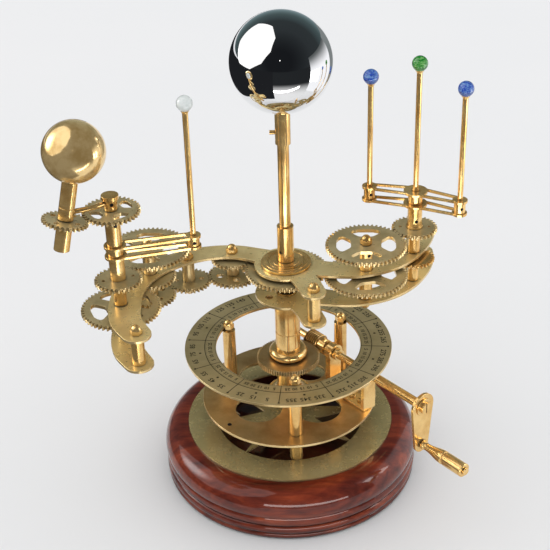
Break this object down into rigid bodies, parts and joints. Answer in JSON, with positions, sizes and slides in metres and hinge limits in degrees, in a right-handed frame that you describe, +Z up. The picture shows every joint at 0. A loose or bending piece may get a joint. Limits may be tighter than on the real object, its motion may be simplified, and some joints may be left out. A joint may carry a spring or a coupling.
{
  "type": "orrery",
  "caption": "Hand-cranked brass orrery: a worm turns a geared frame round a fixed central ball, and gear trains turn the planet rods on its two arms.",
  "frame": {"origin": "middle of the underside of the round base, on the axis of the fixed central arbor", "axes": "+Z up along the central arbor, +X to the right and +Y away from the side seen in the picture"},
  "size_m": [0.2743, 0.1927, 0.3545],
  "materials": {
    "polished_brass": "polished, lightly tarnished",
    "plate_brass": "satin, darker in the corners",
    "dial_brass": "satin with dark engraved lines",
    "gold_ball": "polished, with fine scratches and specks",
    "silver": "mirror polished",
    "wood": "turned hardwood under gloss varnish",
    "felt": "green baize",
    "blue_glass": "clear blue glass",
    "green_glass": "clear green glass",
    "clear_glass": "clear pale glass"
  },
  "bodies": {
    "base": {"felt_pad": "felt", "wood_base": "wood", "base_plate": "plate_brass", "mid_plate": "plate_brass", "lower_pillars": "polished_brass", "upper_pillars": "polished_brass", "ring_nuts": "polished_brass", "calendar_ring": "dial_brass", "column_bearing": "polished_brass", "inner_bracket": "polished_brass", "outer_bracket": "polished_brass", "base_screws": "polished_brass", "centre_arbor": "polished_brass", "sun_gear": "plate_brass", "mast_clamp": "polished_brass", "mast": "polished_brass", "silver_ball": "silver"},
    "frame": {"worm_wheel": "plate_brass", "column": "polished_brass", "lower_plate": "plate_brass", "upper_plate": "plate_brass", "frame_flange": "polished_brass", "crescent_plate": "plate_brass", "frame_pillars": "polished_brass", "frame_nuts": "polished_brass", "gear_studs": "polished_brass"},
    "crank": {"crank_shaft": "polished_brass", "worm": "polished_brass", "crank_arm": "polished_brass", "crank_screws": "polished_brass"},
    "handle": {"handle": "polished_brass"},
    "arbor_a": {"gear_a_small": "plate_brass", "gear_a_large": "plate_brass"},
    "arbor_b": {"gear_b": "plate_brass"},
    "arbor_c": {"gear_c_low": "plate_brass", "gear_c_high": "plate_brass", "gear_c_top": "plate_brass"},
    "left_spindle": {"left_spindle": "polished_brass", "left_spindle_gear": "plate_brass", "ball_arm": "polished_brass"},
    "left_tube": {"left_tube": "polished_brass", "left_tube_gear": "plate_brass", "left_yoke": "polished_brass", "left_rod": "polished_brass", "left_marble": "clear_glass", "ball_drive_gear": "plate_brass"},
    "ball": {"ball_stem": "polished_brass", "ball_gear": "plate_brass", "gold_ball": "gold_ball"},
    "right_arbor": {"right_hub": "polished_brass", "right_lower_gear": "plate_brass", "right_upper_gear": "plate_brass"},
    "right_spindle": {"right_spindle": "polished_brass", "centre_marble": "green_glass"},
    "right_sleeve": {"right_sleeve": "polished_brass", "right_sleeve_gear": "plate_brass", "right_yoke": "polished_brass", "right_rods": "polished_brass", "right_marbles": "blue_glass"}
  },
  "joints": [
    {"name": "frame_spin", "type": "hinge", "parent": "base", "child": "frame", "pos_m": [0, 0, 0.0925], "axis": [0, 0, 1], "continuous": true},
    {"name": "crank_spin", "type": "hinge", "parent": "base", "child": "crank", "pos_m": [0.02106, 0.01964, 0.0925], "axis": [0.682, -0.7314, 0], "continuous": true},
    {"name": "handle_spin", "type": "hinge", "parent": "crank", "child": "handle", "pos_m": [0.09567, -0.06037, 0.0605], "axis": [0.682, -0.7314, 0], "continuous": true},
    {"name": "arbor_a_spin", "type": "hinge", "parent": "frame", "child": "arbor_a", "pos_m": [-0.03905, 0.01546, 0.152], "axis": [0, 0, 1], "continuous": true},
    {"name": "arbor_b_spin", "type": "hinge", "parent": "frame", "child": "arbor_b", "pos_m": [-0.06992, 0.00702, 0.152], "axis": [0, 0, 1], "continuous": true},
    {"name": "arbor_c_spin", "type": "hinge", "parent": "frame", "child": "arbor_c", "pos_m": [-0.09387, -0.01266, 0.152], "axis": [0, 0, 1], "continuous": true},
    {"name": "left_spindle_spin", "type": "hinge", "parent": "frame", "child": "left_spindle", "pos_m": [-0.1083, -0.05317, 0.15], "axis": [0, 0, 1], "continuous": true},
    {"name": "left_tube_spin", "type": "hinge", "parent": "frame", "child": "left_tube", "pos_m": [-0.1083, -0.05317, 0.18], "axis": [0, 0, 1], "continuous": true},
    {"name": "ball_spin", "type": "hinge", "parent": "left_spindle", "child": "ball", "pos_m": [-0.13429, -0.07171, 0.2446], "axis": [0.197, 0.1405, 0.9703], "continuous": true},
    {"name": "right_arbor_spin", "type": "hinge", "parent": "frame", "child": "right_arbor", "pos_m": [0.05548, -0.0076, 0.152], "axis": [0, 0, 1], "continuous": true},
    {"name": "right_spindle_spin", "type": "hinge", "parent": "frame", "child": "right_spindle", "pos_m": [0.08959, 0.01691, 0.15], "axis": [0, 0, 1], "continuous": true},
    {"name": "right_sleeve_spin", "type": "hinge", "parent": "frame", "child": "right_sleeve", "pos_m": [0.08959, 0.01691, 0.18], "axis": [0, 0, 1], "continuous": true}
  ],
  "couplings": [
    {"joint": "crank_spin", "follows": "frame_spin", "ratio": 74},
    {"joint": "arbor_a_spin", "follows": "frame_spin", "ratio": 2},
    {"joint": "arbor_b_spin", "follows": "frame_spin", "ratio": -2.2667},
    {"joint": "arbor_c_spin", "follows": "frame_spin", "ratio": 2.125},
    {"joint": "left_spindle_spin", "follows": "frame_spin", "ratio": -1.3894},
    {"joint": "left_tube_spin", "follows": "frame_spin", "ratio": -3.9667},
    {"joint": "ball_spin", "follows": "frame_spin", "ratio": 3.3136},
    {"joint": "right_arbor_spin", "follows": "frame_spin", "ratio": 1},
    {"joint": "right_spindle_spin", "follows": "frame_spin", "ratio": -2},
    {"joint": "right_sleeve_spin", "follows": "frame_spin", "ratio": -1.8}
  ]
}
